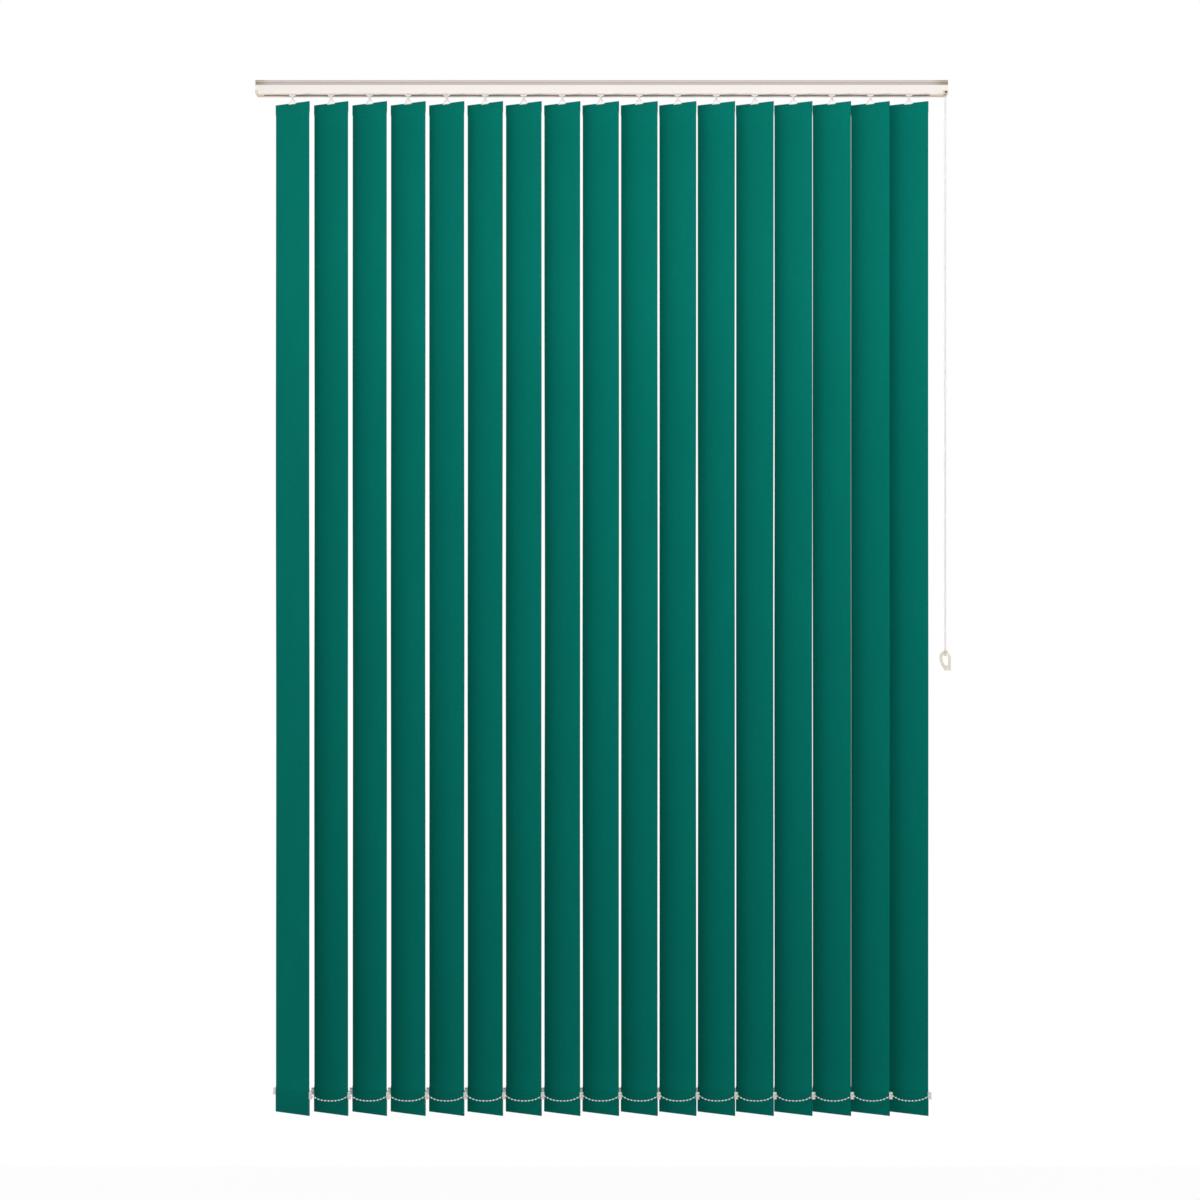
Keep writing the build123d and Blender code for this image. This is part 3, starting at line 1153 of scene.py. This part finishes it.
@dataclass
class Fittings(Moulding):
    """Hook, hanger and bottom weight of a vane, whose chain clips are thicker than the weight."""

    row: Row = Row()
    number: int = 1
    plate_end: float = 43.8 * MM
    clip_root: float = 44.8 * MM
    root_slack: float = 0.01 * MM
    clip_swell: float = 1.0 * MM
    chain_level: float = -2099.5 * MM
    slot_half: float = 1.8 * MM
    slot_share: float = 0.4

    def shape(self, piece: bpy.types.Object) -> None:
        """Swell the chain clips where they stand out of the cloth, and narrow their slots.

        Args:
            piece: Copy of the fittings in edit mode.
        """
        stem = Vector((self.row.x(self.number), 0.0, 0.0))
        along = Vector((math.cos(self.row.tilt), -math.sin(self.row.tilt), 0.0))
        out = Vector((-along.y, along.x, 0.0))
        for reach in (-self.clip_root, -self.plate_end, self.plate_end, self.clip_root):
            bpy.ops.mesh.select_all(action="SELECT")
            bpy.ops.mesh.bisect(plane_co=stem + along * reach, plane_no=along)
        swell_root = self.clip_root - self.root_slack
        for side in (-1, 1):
            Bench.pick(piece, "VERT",
                       lambda place: abs((place - stem).dot(along)) > swell_root
                       and (place - stem).dot(out) * side > 0)
            bpy.ops.transform.translate(value=out * side * self.clip_swell)
        Bench.pick(piece, "VERT",
                   lambda place: abs((place - stem).dot(along)) > self.clip_root
                   and abs(place.z - self.chain_level) < self.slot_half)
        bpy.ops.transform.resize(value=(1.0, 1.0, self.slot_share),
                                 center_override=(0.0, 0.0, self.chain_level))


@dataclass(frozen=True)
class Lamp:
    """A soft box."""

    name: str
    place: Point
    aim: Point
    strength: float
    size: tuple[float, float]
    spread: float = math.pi
    colour: Colour = WHITE

    def hang(self) -> None:
        """Put the lamp in place."""
        light = bpy.data.lights.new(self.name, "AREA")
        light.energy = self.strength
        light.color = self.colour
        light.shape = "RECTANGLE"
        light.size, light.size_y = self.size
        light.spread = self.spread
        lamp = bpy.data.objects.new(self.name, light)
        lamp.location = self.place
        way = Vector(self.aim) - Vector(self.place)
        lamp.rotation_euler = way.to_track_quat("-Z", "Y").to_euler()
        lamp.visible_camera = False
        bpy.context.scene.collection.objects.link(lamp)


@dataclass
class Studio:
    """Camera, lights, floor and white surroundings."""

    eye: Point = (-0.5 * MM, -5.5, -1076.2 * MM)
    lens: float = 79.428
    sensor: float = 36.0
    floor_level: float = -2.36
    floor_size: float = 7.0
    floor_back: float = 0.5
    ambient: float = 0.55
    floor_colour: Colour = (0.6, 0.6, 0.6)
    floor_white: float = 0.96
    floor_rough: float = 0.9
    lamps: tuple[Lamp, ...] = (
        Lamp("strip", place=(0.1, -2.0, -0.15), aim=(0.0, 0.0, -0.45), strength=28.4,
             size=(3.4, 0.4)),
        Lamp("overhead", place=(0.0, 0.0, 1.6), aim=(0.0, 0.0, 0.0), strength=10.0,
             size=(2.4, 0.8)),
        Lamp("under_rail", place=(0.0, -0.2, -1.2), aim=(0.0, -0.01, -0.03), strength=0.85,
             size=(2.8, 0.06), spread=math.radians(20), colour=(1.0, 0.84, 0.7)),
    )

    def set_camera(self) -> None:
        """Stand the camera straight in front, as in the photograph."""
        view = bpy.data.cameras.new("camera")
        view.lens, view.sensor_width = self.lens, self.sensor
        camera = bpy.data.objects.new("camera", view)
        camera.location = self.eye
        camera.rotation_euler = (math.pi / 2, 0.0, 0.0)
        bpy.context.scene.collection.objects.link(camera)
        bpy.context.scene.camera = camera

    def seen_by_eye(self, tree: bpy.types.NodeTree) -> Wire:
        """1 for rays that show the surroundings, straight or in a gloss, and 0 for rays that light.

        Args:
            tree: Node tree to add to.

        Returns:
            The share.
        """
        path = tree.nodes.new("ShaderNodeLightPath")
        names = ("Is Camera Ray", "Is Glossy Ray", "Is Transmission Ray")
        first, second, third = (Wire(tree, path.outputs[name]) for name in names)
        return first.at_least(second).at_least(third)

    def light_world(self) -> None:
        """White surroundings for the eye, and a dimmer even light on the object."""
        world = bpy.data.worlds.new("surroundings")
        bpy.context.scene.world = world
        world.use_nodes = True
        tree = world.node_tree
        back = next(node for node in tree.nodes if node.type == "BACKGROUND")
        back.inputs["Color"].default_value = (*WHITE, 1.0)
        strength = self.seen_by_eye(tree) * (1.0 - self.ambient) + self.ambient
        tree.links.new(strength.socket, back.inputs["Strength"])

    def lay_floor(self) -> None:
        """Pale floor below the vanes, almost white to the eye, with the object's shadow on it."""
        Bench.clear()
        middle = (0.0, self.floor_back - self.floor_size / 2, self.floor_level)
        bpy.ops.mesh.primitive_plane_add(size=self.floor_size, location=middle)
        floor = bpy.context.object
        floor.name = "floor"
        recipe = Recipe("pale_floor")
        recipe.set(Base_Color=(*self.floor_colour, 1.0), Roughness=self.floor_rough)
        glow = recipe.node("ShaderNodeEmission", {}, {"Color": (*WHITE, 1.0), "Strength": 1.0})
        share = self.seen_by_eye(recipe.tree) * self.floor_white
        both = recipe.tree.nodes.new("ShaderNodeMixShader")
        recipe.tree.links.new(share.socket, both.inputs[0])
        recipe.tree.links.new(recipe.shader.outputs[0], both.inputs[1])
        recipe.tree.links.new(glow.socket, both.inputs[2])
        ending = next(node for node in recipe.tree.nodes if node.type == "OUTPUT_MATERIAL")
        recipe.tree.links.new(both.outputs[0], ending.inputs[0])
        floor.data.materials.append(recipe.material)

    def build(self) -> None:
        """Set the stage."""
        bpy.context.scene.view_settings.view_transform = "Standard"
        self.set_camera()
        self.light_world()
        self.lay_floor()
        for lamp in self.lamps:
            lamp.hang()


# Painted shade in the rail's grip groove, on its lips and towards its ends
GROOVE_SHADE = Recess((0.555, 0.48, 0.45), (0.34, 0.265, 0.19))
# Painted shade in the control end's chamber, on its walls and on the chain's beads there
CHAMBER_SHADE = ChamberShade((0.06, 0.045, 0.015))
# Painted shade on the low part of the end mouldings, darker towards the foot
LOW_END_SHADE = LowShade((0.60, 0.53, 0.43))
# Painted shade on the rail's channel and underside behind the slot
UNDERSIDE_SHADE = Underside((0.58, 0.465, 0.385))

# Finishes of pieces that differ from the rest of their slot
# The control chain's beads carry the painted shade of the control end's chamber
CLEAR_BEADS = Moulded("clear_bead_plastic", (0.99, 0.96, 0.93), rough=0.25, skin=0.01 * MM,
                      clear=0.92, marks=(CHAMBER_SHADE,))
END_MOULDING = Moulded("end_moulding", (0.86, 0.81, 0.755), rough=0.3,
                       marks=(GROOVE_SHADE, CHAMBER_SHADE, LOW_END_SHADE, UNDERSIDE_SHADE))

# Rounding of the moulded edges
CLIP_ROUND, CLIP_ROUND_STEPS = 1.3 * MM, 3
END_ROUND = 0.3 * MM
FITTINGS_ROUND = 0.15 * MM


def make_finishes() -> dict[Slot, bpy.types.Material]:
    """Make one material for every slot.

    Returns:
        Materials by slot.
    """
    seams = (VaneSheet.top - VaneSheet.top_pocket + VaneSheet.seam_inset,
             VaneSheet.bottom + VaneSheet.bottom_pocket - VaneSheet.seam_inset)
    finishes = {
        Slot.CLOTH: WovenCloth((0.0, 0.186, 0.146), yarn=0.6 * MM, seams=seams),
        Slot.RAIL: Enamel("rail_enamel", (0.83, 0.785, 0.75), (GROOVE_SHADE, UNDERSIDE_SHADE)),
        Slot.WHITE: Moulded("white_moulding", (0.95, 0.89, 0.84), rough=0.28, marks=(GROOVE_SHADE, CHAMBER_SHADE)),
        Slot.CARRIER: Moulded("carrier_moulding", (0.80, 0.79, 0.76), rough=0.42),
        Slot.CHAIN: Moulded("bead_plastic", (0.98, 0.97, 0.955), rough=0.2, skin=0.01 * MM),
        Slot.CLIP: Moulded("cream_moulding", (0.95, 0.875, 0.755), rough=0.26, clear=0.55),
        Slot.ROD: Drawn("drawn_aluminium", (0.74, 0.74, 0.75)),
        # The sprocket's near-black brown is painted shade, which makes the control end's window
        # read as dark
        Slot.SPROCKET: Moulded("brown_moulding", (0.045, 0.034, 0.012), rough=0.5),
    }
    return {slot: finish.make() for slot, finish in finishes.items()}


def dress_solids(finishes: dict[Slot, bpy.types.Material]) -> None:
    """Give every solid the finish of its slot.

    Args:
        finishes: Materials by slot.
    """
    slots = {part["node"]: Slot(part["material_slot"]) for part in frame["record"]["subparts"]}
    for name, solid in frame["nodes"].items():
        for place in solid.material_slots:
            place.material = finishes[slots[name]]


def main() -> None:
    """Build the pieces in order."""
    logging.basicConfig(level=logging.INFO, format="%(message)s")
    Bench.clear()
    Studio().build()
    row = Row()
    finishes = make_finishes()
    dress_solids(finishes)
    clip = Moulding("chain_clip", "headrail", Slot.CLIP, finishes[Slot.CLIP], CLIP_ROUND,
                    CLIP_ROUND_STEPS).build()
    ControlChain(CLEAR_BEADS.make()).build(clip)
    for edge in Edge:
        BottomChain(row, edge, finishes[Slot.CHAIN]).build()
    VaneSheet(row, finishes[Slot.CLOTH]).build()
    ends = END_MOULDING.make()
    for name in ("end_covers", "control_end_housing"):
        Moulding(name, "headrail", Slot.WHITE, ends, END_ROUND).build()
    for number in row.numbers():
        tag = row.tag(number)
        Fittings(f"fittings_{tag}", f"vane_{tag}", Slot.WHITE, finishes[Slot.WHITE],
                 FITTINGS_ROUND, row=row, number=number).build()
    Bench.clear()


if __name__ == "__main__":
    main()
